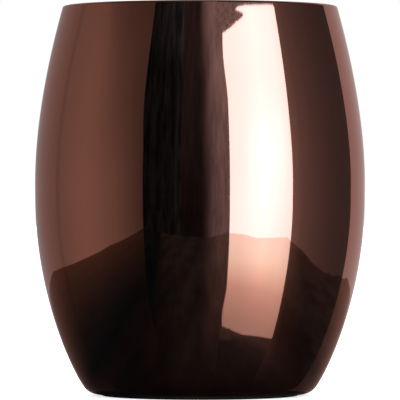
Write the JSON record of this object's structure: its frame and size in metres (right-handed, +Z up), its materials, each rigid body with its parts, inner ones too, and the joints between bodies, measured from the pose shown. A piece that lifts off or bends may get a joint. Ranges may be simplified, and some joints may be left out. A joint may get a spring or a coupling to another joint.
{
  "type": "double-walled tumbler",
  "caption": "Barrel-shaped metal tumbler with a narrowed mouth, a polished dark copper outside, a satin steel inside and a soft foot ring.",
  "frame": {"origin": "centre of the foot ring's underside, on the surface that the tumbler stands on", "axes": "+Z up along the tumbler's axis, out of the mouth; the body is round, so +X and +Y are free except that the getter lies towards +X"},
  "size_m": [0.0864, 0.0864, 0.102],
  "materials": {
    "copper_mirror": "mirror-polished steel with a dark copper coating",
    "copper_lip": "dressed and polished weld under the same dark copper coating",
    "satin_steel": "satin, fine rings from spinning",
    "bright_foil": "bright rolled foil",
    "raw_steel": "mill finish, pressed",
    "weld_steel": "as welded, slightly blued",
    "solder_glass": "dark opaque solder glass",
    "pressed_steel": "pressed, matt",
    "sintered_metal": "sintered, grainy",
    "brushed_copper": "round-brushed steel with the same dark copper coating",
    "black_silicone": "matt moulded silicone"
  },
  "bodies": {
    "root": {"outer_shell": "copper_mirror", "lip_weld": "copper_lip", "inner_cup": "satin_steel", "radiant_foil": "bright_foil", "vacuum_base_plate": "raw_steel", "base_weld": "weld_steel", "seal_bead": "solder_glass", "getter_holder": "pressed_steel", "getter_pellet": "sintered_metal", "base_cover": "brushed_copper", "foot_ring": "black_silicone"}
  },
  "joints": []
}
